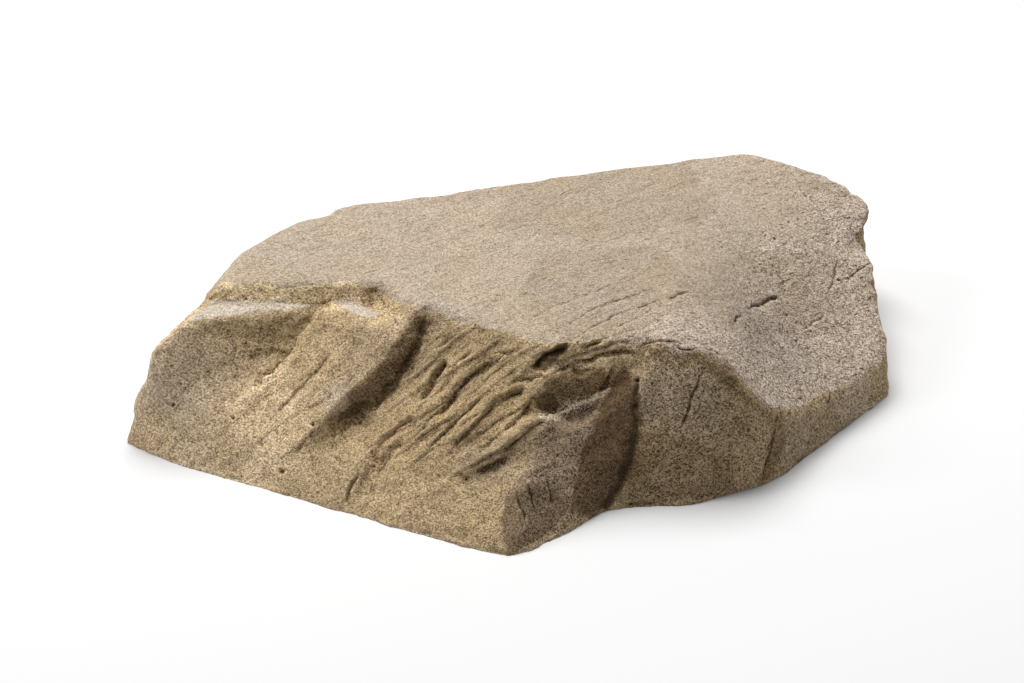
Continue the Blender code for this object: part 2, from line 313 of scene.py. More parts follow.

# Stains, and dark spots that are partly painted shade: for each kind its places, as share, radius (m) and
# pixel
STAINS_AND_SHADE = {
    "yellow": [
        (1.0, 0.05, (232, 290)), (1.0, 0.05, (262, 292)), (0.9, 0.05, (300, 293)), (0.7, 0.04, (340, 292)),
        (0.8, 0.06, (395, 303)), (0.4, 0.09, (300, 350)), (0.5, 0.09, (440, 385)), (0.5, 0.10, (500, 410)),
        (0.4, 0.10, (400, 480)), (0.6, 0.08, (480, 500)), (0.5, 0.07, (520, 350)), (0.4, 0.10, (330, 460)),
        (0.5, 0.05, (590, 345)), (0.35, 0.05, (720, 450)),
    ],
    "grey": [
        (0.5, 0.045, (650, 400)), (0.3, 0.05, (480, 460)), (0.3, 0.10, (690, 385)), (0.25, 0.08, (800, 430)),
        (0.25, 0.10, (850, 400)), (0.4, 0.12, (770, 340)), (0.2, 0.10, (180, 380)), (0.4, 0.04, (340, 405)),
    ],
    "pale": [
        (1.0, 0.14, (180, 350)), (1.0, 0.16, (180, 420)), (0.8, 0.12, (250, 330)), (0.9, 0.14, (260, 420)),
        (0.3, 0.12, (320, 370)), (1.0, 0.06, (240, 290)), (1.0, 0.06, (290, 292)), (1.0, 0.05, (345, 292)),
        (0.6, 0.10, (860, 400)), (0.4, 0.10, (690, 470)), (0.4, 0.08, (395, 312)), (0.3, 0.10, (430, 510)),
    ],
    "brown": [
        (0.6, 0.05, (625, 410)), (0.5, 0.08, (690, 470)), (0.6, 0.05, (720, 460)), (0.4, 0.09, (740, 420)),
        (0.3, 0.09, (800, 300)),
    ],
    # Painted shade in the notch and on the slab's wall, with dark stains
    "dark": [
        (0.5, 0.030, (634, 440)), (0.5, 0.030, (630, 470)), (0.3, 0.03, (395, 365)), (0.6, 0.05, (730, 374)),
        (0.35, 0.03, (480, 462)),
    ],
}

# Colours of the stone as they look in even light, but for the nose's dark brown face, which is darker still
# as painted shade; the brown also tints the faces turned away from the lamps as painted shade
PLATEAU = (178, 162, 143)
PLATEAU_PINK = (180, 162, 140)
BANK = (193, 175, 155)
LEDGE = (196, 182, 164)
TAN = (184, 158, 120)
TAN_GREY = (172, 149, 116)
YELLOW = (206, 181, 134)
GREY = (160, 146, 134)
STREAK = (150, 128, 100)
BROWN = (134, 112, 84)
NOSE_GREY = (157, 135, 110)
NOSE_BROWN_AND_SHADE = (112, 89, 64)

# How much of each colour shows (the brown on the faces turned away from the lamps is painted shade), and how
# many times lighter the pale places and the places with painted light are
STREAK_SHARE = 0.30
SHADED_SHARE = 0.15
PALE_LIGHT = 1.5
LIT_LIGHT = 2.4

# The parts of the pattern: how many to the metre, the noise values between which they come in, and how much
# lighter or darker they make the stone. Specks and pits are dots in the cells whose number is above LEAST
PATCH_SCALE = 9.0
PLATEAU_SPAN = (0.42, 0.62)
TAN_SPAN = (0.40, 0.62)
MOTTLE_SCALE = 42.0
EDGE_MOTTLE = 0.5
EDGE_SPAN = (0.35, 0.65)
YELLOW_SPAN = (0.25, 0.7)
STREAK_SCALE = 60.0
STREAK_SPAN = (0.46, 0.66)
CLUMP_SCALE = 130.0
CLUMP_CONTRAST = 0.05
GRAIN_SCALE = 640.0
GRAIN_CONTRAST = 1.30
DUST_SCALE = 620.0
DUST_CONTRAST = 0.80
FLECK_SCALE = 210.0
FLECK_SPAN = (0.59, 0.70)
FLECK_DEPTH = 0.42
SPECK_SCALE = 330.0
SPECK_RADIUS = 0.34
SPECK_LEAST = 0.66
SPECK_DEPTH = 0.22
PIT_SCALE = 120.0
PIT_RADIUS = 0.18
PIT_LEAST = 0.90
PIT_DEPTH = 0.35
LEAST_LIGHT = 0.07

# Hollows and ridges: the depths in millimetres between which they show, and how much darker or lighter. The
# darker hollows are painted shade
HOLLOW_SHADE_SPAN = (0.22, 1.2)
HOLLOW_SHADE_DEPTH = 0.30
RUBBED_SPAN = (-0.15, -0.8)
RUBBED_LIGHT = 0.18
SUNKEN_SPAN = (0.5, 5.0)
SUNKEN_DEPTH = 0.22

# What is left of the light in crevices, where the steep sides of grooves get painted shade and cracks and
# pits are darker, and in the dark spots, which are partly painted shade
CREVICE_LIGHT = 0.42
DARK_LIGHT = 0.30

# The top shows fewer stains and a finer grain, and the bank and the shaded faces a coarser one
TOP_STAINLESS = 0.85
TOP_FINER = 0.28
BANK_COARSER = 0.50
SHADED_COARSER = 0.40

# A darker grain is redder: what the lightness is raised to for red and for blue
RED_POWER = 0.9
BLUE_POWER = 1.22

# Relief that the material adds, in metres, and the patterns it comes from
GRAIN_HEIGHT = 0.0015
GRAIN_SHARE = 0.35
GRIT_SCALE = 560.0
GRIT_SHARE = 1.4
SWELL_SCALE = 95.0
SWELL_SHARE = 0.20

# Streaks and flecks are drawn out along the stone's layers, at this angle in plan
LAYERS_ANGLE = 38.0
STREAK_LENGTH = 6.0
FLECK_LENGTH = 4.0

ROUGHNESS = (0.82, 0.98)
SPECULAR = 0.25

# Light and floor. Area lights: name, place, width and height in metres, and power in watts
WORLD_LIGHT = 0.28
AREA_LIGHTS = [
    ("overhead", (-0.5, 2.6, 5.6), 4.6, 3.6, 500),
    ("left_key", (-6.0, -0.6, 4.2), 2.4, 2.4, 115),
]
FLOOR_COLOUR = (0.74, 0.74, 0.74, 1)
FLOOR_ROUGHNESS = 0.9
FLOOR_SPECULAR = 0.1
FLOOR_HALF = 8.0
LIGHTS_AIM = Vector((0, 0, 0.1))


def hashed(ix, iy, iz, seed):
    """A repeatable number from 0 to 1 for each whole-number place."""
    h = ix.astype(np.uint32) * np.uint32(374761393) + iy.astype(np.uint32) * np.uint32(668265263)
    h += iz.astype(np.uint32) * np.uint32(2246822519) + np.uint32(seed * 3266489917 % 4294967296)
    h = (h ^ (h >> np.uint32(15))) * np.uint32(2246822519)
    h = (h ^ (h >> np.uint32(13))) * np.uint32(3266489917)
    return (h ^ (h >> np.uint32(16))).astype(np.float64) / 4294967295.0


def soft_noise(p, size, seed):
    """Even noise from -1 to 1 whose lumps are about size across."""
    q = p / size + 1000.0
    cell = np.floor(q).astype(np.int64)
    f = q - cell
    f = f * f * f * (f * (f * 6 - 15) + 10)
    x, y, z = cell.T
    total = 0.0
    for dx in (0, 1):
        for dy in (0, 1):
            for dz in (0, 1):
                weight = (f[:, 0] if dx else 1 - f[:, 0]) * (f[:, 1] if dy else 1 - f[:, 1])
                weight = weight * (f[:, 2] if dz else 1 - f[:, 2])
                total = total + weight * hashed(x + dx, y + dy, z + dz, seed)
    return total * 2 - 1


def layered(p, size, seed, octaves=3, gain=0.5):
    """Several sizes of even noise together."""
    total, high = 0.0, 1.0
    for k in range(octaves):
        total = total + high * soft_noise(p, size / 2**k, seed + 17 * k)
        high *= gain
    return total


def cells(p, seed):
    """With one point scattered in each unit cube: the distance to the nearest and to the second nearest, the
    way from the nearest, and its number."""
    q = p + 1000.0
    base = np.floor(q).astype(np.int64)
    first = np.full(len(p), 9.0)
    second = np.full(len(p), 9.0)
    number = np.zeros(len(p))
    way = np.zeros_like(p)
    for dx in (-1, 0, 1):
        for dy in (-1, 0, 1):
            for dz in (-1, 0, 1):
                x, y, z = base[:, 0] + dx, base[:, 1] + dy, base[:, 2] + dz
                spot = np.stack([hashed(x, y, z, seed + k) for k in range(3)], 1) + np.stack([x, y, z], 1)
                off = q - spot
                apart = np.linalg.norm(off, axis=1)
                closer = apart < first
                second = np.where(closer, first, np.minimum(second, apart))
                number = np.where(closer, hashed(x, y, z, seed + 5), number)
                way = np.where(closer[:, None], off, way)
                first = np.where(closer, apart, first)
    return first, second, way, number


def ease(x):
    """A smooth step from 0 to 1."""
    x = np.clip(x, 0, 1)
    return x * x * (3 - 2 * x)


def srgb(r, g, b):
    """A colour from its 0 to 255 values, as the shader takes it."""
    def linear(c):
        c = c / 255
        return c / 12.92 if c <= 0.04045 else ((c + 0.055) / 1.055) ** 2.4
    return (linear(r), linear(g), linear(b), 1.0)


def camera_ray(px, py):
    """Where the camera stands and which way it looks through a pixel."""
    e = math.radians(CAMERA_ELEVATION)
    back = Vector((0, -math.cos(e), math.sin(e)))
    right = Vector((1, 0, 0))
    up = back.cross(right)
    way = right * ((px - IMAGE[0] / 2) / FOCAL_PX) - up * ((py - IMAGE[1] / 2) / FOCAL_PX) - back
    return AIM + back * CAMERA_DISTANCE, way.normalized()


def new_object(name, mesh):
    obj = bpy.data.objects.new(name, mesh)
    bpy.context.scene.collection.objects.link(obj)
    return obj


def modified(obj):
    """The mesh of an object with its modifiers."""
    return bpy.data.meshes.new_from_object(obj.evaluated_get(bpy.context.evaluated_depsgraph_get()))


def coordinates(mesh):
    co = np.empty(len(mesh.vertices) * 3)
    mesh.vertices.foreach_get("co", co)
    return co.reshape(-1, 3)


def set_coordinates(mesh, co):
    mesh.vertices.foreach_set("co", co.ravel())
    mesh.update()


def normals(mesh):
    n = np.empty(len(mesh.vertices) * 3, dtype=np.float32)
    mesh.vertex_normals.foreach_get("vector", n)
    return n.reshape(-1, 3).astype(np.float64)


def edge_ends(mesh):
    ends = np.empty(len(mesh.edges) * 2, dtype=np.int32)
    mesh.edges.foreach_get("vertices", ends)
    return ends.reshape(-1, 2)


def surface_tree(mesh):
    places = [tuple(v) for v in coordinates(mesh)]
    return BVHTree.FromPolygons(places, [tuple(p.vertices) for p in mesh.polygons])


def averaged(values, ends, times, share=0.5):
    """Values moved towards the mean of their neighbours, several times."""
    a, b = ends.T
    count = np.bincount(a, minlength=len(values)) + np.bincount(b, minlength=len(values))
    flat = values.reshape(len(values), -1).copy()
    for _ in range(times):
        for k in range(flat.shape[1]):
            column = flat[:, k]
            total = np.bincount(a, column[b], len(column)) + np.bincount(b, column[a], len(column))
            flat[:, k] = column + share * (total / np.maximum(count, 1) - column)
    return flat.reshape(values.shape)


def remeshed(cad):
    """The solid's surface in small even faces, without its facets."""
    mesh = cad.data.copy()
    mesh.transform(cad.matrix_world)
    holder = new_object("remesh", mesh)
    remesh = holder.modifiers.new("even", "REMESH")
    remesh.mode = "VOXEL"
    remesh.voxel_size = VOXEL
    fine = modified(holder)
    bpy.data.objects.remove(holder)
    co = coordinates(fine)
    smooth = averaged(co, edge_ends(fine), FACET_SMOOTHING)
    on_ground = co[:, 2] < VOXEL
    smooth[on_ground, 2] = np.minimum(co[on_ground, 2], smooth[on_ground, 2])
    set_coordinates(fine, smooth)
    return fine


def on_surface(tree, path):
    """Pixel positions as places and normals on the stone."""
    hits = [tree.ray_cast(*camera_ray(*pixel)) for pixel in path]
    hits = [h for h in hits if h[0] is not None]
    return np.array([h[0] for h in hits]), np.array([h[1] for h in hits])


def within(points, corners, soft):
    """1 inside an outline in the plane and 0 outside it."""
    edge = np.full(len(points), FAR)
    inner = np.zeros(len(points), dtype=bool)
    for a, b in zip(corners, np.roll(corners, -1, axis=0)):
        way = b - a
        t = np.clip((points - a) @ way / (way @ way), 0, 1)
        edge = np.minimum(edge, np.linalg.norm(points - a - t[:, None] * way, axis=1))
        crossing = (a[1] > points[:, 1]) != (b[1] > points[:, 1])
        inner ^= crossing & (points[:, 0] < a[0] + (points[:, 1] - a[1]) * way[0] / (way[1] or 1e-9))
    return ease(0.5 + np.where(inner, edge, -edge) / soft)


def inside(co, tree, outline, soft):
    """1 inside an outline in pixels that is laid on the stone from above, and 0 outside it."""
    return within(co[:, :2], on_surface(tree, outline)[0][:, :2], soft)


def pixels(co):
    """Where each vertex lies in the image."""
    e = math.radians(CAMERA_ELEVATION)
    p = co - np.array(AIM)
    depth = CAMERA_DISTANCE - p @ np.array((0, -math.cos(e), math.sin(e)))
    down = -p @ np.array((0, math.sin(e), math.cos(e)))
    return np.stack([IMAGE[0] / 2 + FOCAL_PX * p[:, 0] / depth, IMAGE[1] / 2 + FOCAL_PX * down / depth], 1)


def faces(co, n):
    """The share of each kind of face, of painted shade and of painted light at each vertex of the side that
    its outline is drawn on.
    """
    e = math.radians(CAMERA_ELEVATION)
    near_side = ease((n @ np.array((0, -math.cos(e), math.sin(e))) + 0.05) / 0.15)
    ragged = np.stack([layered(co, 0.012, 111, 2), layered(co, 0.012, 121, 2)], 1)
    points = pixels(co) + 2.4 * ragged
    masks = {}
    for kind, patches in FACES.items():
        share = [part * within(points, np.array(outline), 3.0) for part, outline in patches]
        masks[kind] = near_side * np.maximum.reduce(share)
    return masks


def along_path(co, places, facing):
    """The vertices near a path, how far along it and across it (left is positive) each is, and its length."""
    low, high = places.min(0) - PATH_REACH, places.max(0) + PATH_REACH
    near = np.nonzero(((co > low) & (co < high)).all(1))[0]
    p = co[near]
    best = np.full(len(p), FAR)
    travelled = np.zeros(len(p))
    across = np.zeros(len(p))
    start = 0.0
    last = len(places) - 2
    for k in range(last + 1):
        a, b = places[k], places[k + 1]
        length = np.linalg.norm(b - a)
        way = (b - a) / length
        left = np.cross((facing[k] + facing[k + 1]) / 2, way)
        left /= np.linalg.norm(left)
        t = (p - a) @ way
        held = np.clip(t, 0, length)
        before = np.minimum(t, 0) if k == 0 else 0
        after = np.maximum(t - length, 0) if k == last else 0
        apart = np.linalg.norm(p - (a + held[:, None] * way), axis=1)
        closer = apart < best
        best = np.where(closer, apart, best)
        travelled = np.where(closer, start + held + before + after, travelled)
        across = np.where(closer, apart * np.sign((p - a) @ left), across)
        start += length
    return near, travelled, across, start


def strayed(across, here, waves, seed):
    """The distance across a line that strays from its path."""
    for height, size, first_seed in waves:
        across = across + height * soft_noise(here, size, first_seed + seed)
    return across


def cut_grooves(co, tree, sunk, dark):
    """Sinks the grooves, and darkens their steep sides as painted shade."""
    for seed, (depth, steep, reach, path) in enumerate(GROOVES):
        near, along, across, length = along_path(co, *on_surface(tree, path))
        here = co[near]
        across = strayed(across * np.sign(reach), here, GROOVE_WAVES, seed)
        fade = ease(along / GROOVE_START + 0.3) * ease((length - along) / GROOVE_END + 0.2)
        fade *= 0.75 + 0.35 * soft_noise(here, 0.025, 20 + seed)
        shape = ease(across / (steep * MM) + 0.5) * ease(1 - across / abs(reach) * MM_PER_METRE)
        sunk[near] += GROOVE_DEPTH * depth * MM * fade * shape
        line = ease(1 - np.abs(across - 0.0003 * steep) / (0.0009 * steep + 0.0010))
        patchy = 0.75 + 0.35 * soft_noise(here, 0.012, 40 + seed)
        dark[near] = np.maximum(dark[near], patchy * fade * line * min(max(depth, 0) / 8, 0.9))


def cut_cracks(co, tree, sunk, dark):
    """Sinks and darkens the thin cracks."""
    for seed, (depth, half, path) in enumerate(CRACKS):
        near, along, across, length = along_path(co, *on_surface(tree, path))
        here = co[near]
        width = CRACK_WIDTH * half * MM * (1 + 0.7 * soft_noise(here, 0.006, 60 + seed))
        across = strayed(across, here, CRACK_WAVES, seed)
        fade = ease(along / CRACK_TAPER + 0.2) * ease((length - along) / CRACK_TAPER + 0.2)
        fade *= ease(1.0 + 0.8 * soft_noise(here, 0.012, 50 + seed))
        shape = fade * ease(1 - np.abs(across) / (2 * width))
        sunk[near] += CRACK_DEPTH * depth * MM * shape
        dark[near] = np.maximum(dark[near], shape * min(depth / 2.0, 1))


def cut_pits(co, tree, sunk, dark):
    """Sinks and darkens the pits."""
    for depth, radius, pixel in PITS:
        places = on_surface(tree, [pixel])[0]
        if not len(places):
            continue
        apart = np.linalg.norm(co - places[0], axis=1)
        near = apart < PATH_REACH
        ragged = apart[near] * (1 + 0.4 * soft_noise(co[near], 0.004, 77))
        shape = ease(1.3 - ragged / (radius * MM))
        sunk[near] += depth * MM * shape
        dark[near] = np.maximum(dark[near], shape)


def flakes(co, thick, seed):
    """Split flakes that overlap like shingles: each rises over its width and drops at its right edge."""
    side = np.cross(CLEAVAGE, FLAKES_RUN)
    bent = co + 0.22 * thick * np.stack([layered(co, 2.5 * thick, seed + k, 2) for k in range(3)], 1)
    along = bent @ FLAKES_RUN / FLAKE_LENGTH
    scaled = np.stack([along, bent @ CLEAVAGE, bent @ side / FLAKE_WIDTH], 1) / thick
    _, _, way, number = cells(scaled, seed)
    return 0.7 * (number - 0.5) - 0.6 * way[:, 1]


def level(n, least, blend):
    """1 where the normals point up, and 0 where their upward part is below least."""
    return ease((n[:, 2] - least) / blend)


def zones(co, broad, tree):
    """The shares of the top, its bank, the front slope and the ledges at each vertex."""
    rim = on_surface(tree, FRONT_RIM)[0]
    wavering = 0.008 * layered(co, 0.03, 7)
    behind = ease(0.5 + (co[:, 1] - np.interp(co[:, 0], rim[:, 0], rim[:, 1]) + wavering) / RIM_BLEND)
    ledge = np.maximum.reduce([inside(co, tree, outline, LEDGE_BLEND) for outline in LEDGES])
    top = np.maximum(behind * level(broad, *TOP_LEVEL), ledge * level(broad, *LEDGE_LEVEL))
    beyond = co[:, 0] - BANK_SLANT * co[:, 1] - BANK_START + 0.05 * layered(co, 0.10, 65)
    bank = top * ease(0.5 + beyond / BANK_BLEND)
    front = (1 - behind) * level(broad, *FRONT_LEVEL)
    return top, bank, front, ledge


def chips(co, broken):
    """Lumps and chips of the broken faces."""
    out = LUMP_HEIGHT * layered(co, LUMP_SIZE, 1) * (0.3 + broken)
    bent = co + BEND_HEIGHT * np.stack([soft_noise(co, BEND_SIZE, 3 + k) for k in range(3)], 1)
    for height, size, joint, seed in CHIPS:
        first, second, _, number = cells(bent / size, seed)
        out += broken * height * (number - 0.5) * ease((second - first) / joint)
    return out


def thin_layers(co, share):
    """How sunk each vertex is between the thin layers that this share of the stone is split into."""
    across = co @ LAYERS_ACROSS + 0.004 * layered(co, 0.06, 21, 2)
    drawn = np.stack([across, co @ LAYERS_ALONG * LAYERS_NARROWED, np.zeros(len(co))], 1)
    thin = 1 - ease(np.abs(soft_noise(drawn, LAYER_SIZE, 61)) / 0.14)
    where = ease(0.35 + 1.2 * soft_noise(co, 0.07, 62))
    return share * LAYER_DEPTH * thin * where


def bumps(co, tree):
    """How far each vertex is pushed outward in plan."""
    pushed = np.zeros(len(co))
    for height, radius, pixel in BUMPS:
        places = on_surface(tree, [pixel])[0]
        if len(places):
            ragged = np.linalg.norm(co - places[0], axis=1) * (1 + 0.3 * soft_noise(co, 0.012, 131))
            pushed += height * MM * ease(1.2 - ragged / (radius * MM))
    return pushed


def roughened(fine):
    """Gives the surface its chips, flakes, grooves, cracks and pits, and returns masks for the colour."""
    co, ends = coordinates(fine), edge_ends(fine)
    n = normals(fine)
    tree = surface_tree(fine)
    broad = averaged(n, ends, 12)
    broad /= np.linalg.norm(broad, axis=1)[:, None]
    top, bank, front, ledge = zones(co, broad, tree)
    under = (n[:, 2] < -0.7) & (co[:, 2] < UNDERSIDE_HEIGHT)
    broken = 1 - top + 0.5 * bank
    out = chips(co, broken)

    # The split front, between the slab on the left and the nose
    split = front * inside(co, tree, SPLIT, 0.05) * ease((0.25 - broad[:, 0]) / 0.2)
    height, thick, seed = PLAIN_FLAKES
    out += split * sum(high * flakes(co, *rest) for high, *rest in SPLIT_FLAKES)
    out += front * (1 - split) * height * flakes(co, thick, seed)

    out -= thin_layers(co, top * (1 - ledge))
    out += bank * BANK_RELIEF * layered(co, 0.012, 64, 2)
    for height, size, seed, even, more in COARSE_GRAIN:
        out += height * soft_noise(co, size, seed) * (even + more * broken)

    # Rims are chipped where the stone turns sharply
    turn = np.linalg.norm(averaged(n, ends, 3) - broad, axis=1)
    out -= ease(turn / 0.45) * RIM_CHIP * ease(0.35 + layered(co, 0.016, 91, 2))
    out += ease(turn / 0.12) * RIM_WAVER * layered(co, 0.030, 95, 4, 0.6)

    pushed = bumps(co, tree)
    sunk, dark = np.zeros(len(co)), np.zeros(len(co))
    for cut in (cut_grooves, cut_cracks, cut_pits):
        cut(co, tree, sunk, dark)
    out = (out - sunk - SUNK_BY) * (FOOT_RELIEF + (1 - FOOT_RELIEF) * ease(co[:, 2] / FOOT_HEIGHT))
    out[under] = 0
    on_ground = under | (co[:, 2] <= 0)
    co = co + n * out[:, None]
    co[:, :2] += pushed[:, None] * co[:, :2] / np.linalg.norm(co[:, :2], axis=1)[:, None]
    co[:, 2] = np.where(on_ground, 0, np.maximum(co[:, 2], 0))
    set_coordinates(fine, co)
    return {"top": top, "bank": bank, "ledge": ledge, "crevice": dark}


def add_mask(mesh, name, values):
    layer = mesh.attributes.new(name, "FLOAT", "POINT")
    layer.data.foreach_set("value", np.asarray(values, dtype=np.float32))


def stains_and_painted_shading(mesh):
    """The share of each kind of stain at each vertex, and of the painted shade and painted light."""
    co, n = coordinates(mesh), normals(mesh)
    tree = surface_tree(mesh)
    broad = averaged(n, edge_ends(mesh), 8)
    ragged = 1 + 0.35 * layered(co, 0.05, 101)
    masks = {}
    for kind, spots in STAINS_AND_SHADE.items():
        share = np.zeros(len(co))
        for strength, radius, pixel in spots:
            places = on_surface(tree, [pixel])[0]
            if len(places):
                apart = np.linalg.norm(co - places[0], axis=1) * ragged
                share = np.maximum(share, strength * ease(1.25 * (1 - apart / radius)))
        masks[kind] = share
    # Faces turned right, forward and down, away from the lamps, are painted browner: painted shade
    away = np.maximum(ease((broad[:, 0] - 0.15) / 0.25), ease((co[:, 0] - 0.12) / 0.05))
    masks["shaded"] = away * ease((broad @ np.array((0.62, -0.72, -0.25)) - 0.05) / 0.5)
    masks.update(faces(co, broad))
    return masks


def hollows(mesh):
    """How sunk each vertex is below its surroundings, at a small and a larger size, in millimetres."""
    co, ends, n = coordinates(mesh), edge_ends(mesh), normals(mesh)
    near = averaged(co, ends, 4, 0.8)
    wide = averaged(near, ends, 40, 0.9)
    return {
        "near_hollow": ((near - co) * n).sum(1) * MM_PER_METRE,
        "wide_hollow": ((wide - co) * n).sum(1) * MM_PER_METRE,
    }


class Graph:
    """Shader nodes of one material."""

    def __init__(self, name):
        self.material = bpy.data.materials.new(name)
        self.material.use_nodes = True
        self.tree = self.material.node_tree
        self.shader = self.tree.nodes["Principled BSDF"]

    def node(self, kind, inputs=None, **settings):
        made = self.tree.nodes.new(kind)
        for key, value in settings.items():
            setattr(made, key, value)
        for key, value in (inputs or {}).items():
            self.put(made.inputs[key], value)
        return made

    def put(self, socket, value):
        if isinstance(value, bpy.types.NodeSocket):
            self.tree.links.new(value, socket)
        else:
            socket.default_value = value

    def calc(self, operation, *values):
        made = self.node("ShaderNodeMath", operation=operation)
        for socket, value in zip(made.inputs, values):
            self.put(socket, value)
        return made.outputs[0]

    def attribute(self, name):
        return self.node("ShaderNodeAttribute", attribute_name=name).outputs["Fac"]

    def blend(self, share, a, b, how="MIX"):
        made = self.node("ShaderNodeMix", data_type="RGBA", blend_type=how)
        for socket, value in zip((made.inputs[0], made.inputs[6], made.inputs[7]), (share, a, b)):
            self.put(socket, value)
        return made.outputs[2]

    def noise(self, place, scale, detail, roughness):
        inputs = {"Vector": place, "Scale": scale, "Detail": detail, "Roughness": roughness}
        return self.node("ShaderNodeTexNoise", inputs).outputs["Fac"]

    def span(self, value, low, high, to_low=0.0, to_high=1.0):
        inputs = {"Value": value, "From Min": low, "From Max": high, "To Min": to_low, "To Max": to_high}
        return self.node("ShaderNodeMapRange", inputs, interpolation_type="SMOOTHSTEP").outputs["Result"]

    def around(self, value, high):
        """A value from 0 to 1 moved to vary about 0, times high."""
        return self.times(self.calc("SUBTRACT", value, 0.5), high)

    def times(self, value, share):
        return self.calc("MULTIPLY", value, share)

    def more(self, value, added, share):
        return self.calc("ADD", value, self.times(added, share))

    def less(self, value, taken, share):
        return self.calc("SUBTRACT", value, self.times(taken, share))


def drawn_out(g, place, times):
    """Places whose patterns are drawn out this many times along the stone's layers."""
    turn = (0, 0, math.radians(LAYERS_ANGLE))
    mapping = g.node("ShaderNodeMapping", {"Vector": place, "Rotation": turn}, vector_type="TEXTURE")
    mapping.inputs["Scale"].default_value = (times, 1.0, 1.0)
    return mapping.outputs["Vector"]


def dots(g, place, scale, radius, least):
    """Small round dots at the middle of those cells whose own number is above least."""
    cell = g.node("ShaderNodeTexVoronoi", {"Vector": place, "Scale": scale})
    number = g.node("ShaderNodeSeparateColor", {"Color": cell.outputs["Color"]}).outputs[1]
    chosen = g.calc("GREATER_THAN", number, least)
    return g.calc("MULTIPLY", g.span(cell.outputs["Distance"], radius, 0.5 * radius), chosen)


def base_colour(g, place, top, bank, below):
    """The colour without its grain: pale on the top and tan on the broken faces, with stains, and browner as
    painted shade where faces turn away from the lamps and on the nose's dark face.
    """
    patches = g.noise(place, PATCH_SCALE, 3.0, 0.55)
    mottle = g.noise(place, MOTTLE_SCALE, 3.0, 0.6)
    pale = g.blend(g.span(patches, *PLATEAU_SPAN), srgb(*PLATEAU), srgb(*PLATEAU_PINK))
    pale = g.blend(bank, pale, srgb(*BANK))
    streak = g.noise(drawn_out(g, place, STREAK_LENGTH), STREAK_SCALE, 4.0, 0.65)
    streak = g.span(streak, *STREAK_SPAN)
    pale = g.blend(g.times(streak, STREAK_SHARE), pale, srgb(*STREAK))
    pale = g.blend(g.attribute("ledge"), pale, srgb(*LEDGE))
    tan = g.blend(g.span(patches, *TAN_SPAN), srgb(*TAN), srgb(*TAN_GREY))
    edge = g.calc("ADD", top, g.around(mottle, EDGE_MOTTLE))
    base = g.blend(g.span(edge, *EDGE_SPAN), tan, pale)
    yellow = g.times(g.times(g.attribute("yellow"), below), g.span(mottle, *YELLOW_SPAN))
    base = g.blend(yellow, base, srgb(*YELLOW))
    base = g.blend(g.attribute("grey"), base, srgb(*GREY))
    base = g.blend(g.attribute("brown"), base, srgb(*BROWN))
    # Browner where the faces turn away from the lamps: painted shade
    base = g.blend(g.times(g.attribute("shaded"), SHADED_SHARE), base, srgb(*BROWN))
    base = g.blend(g.attribute("nose_grey"), base, srgb(*NOSE_GREY))
    # The nose's dark brown face, darker as painted shade
    return g.blend(g.attribute("nose_brown_and_shade"), base, srgb(*NOSE_BROWN_AND_SHADE))


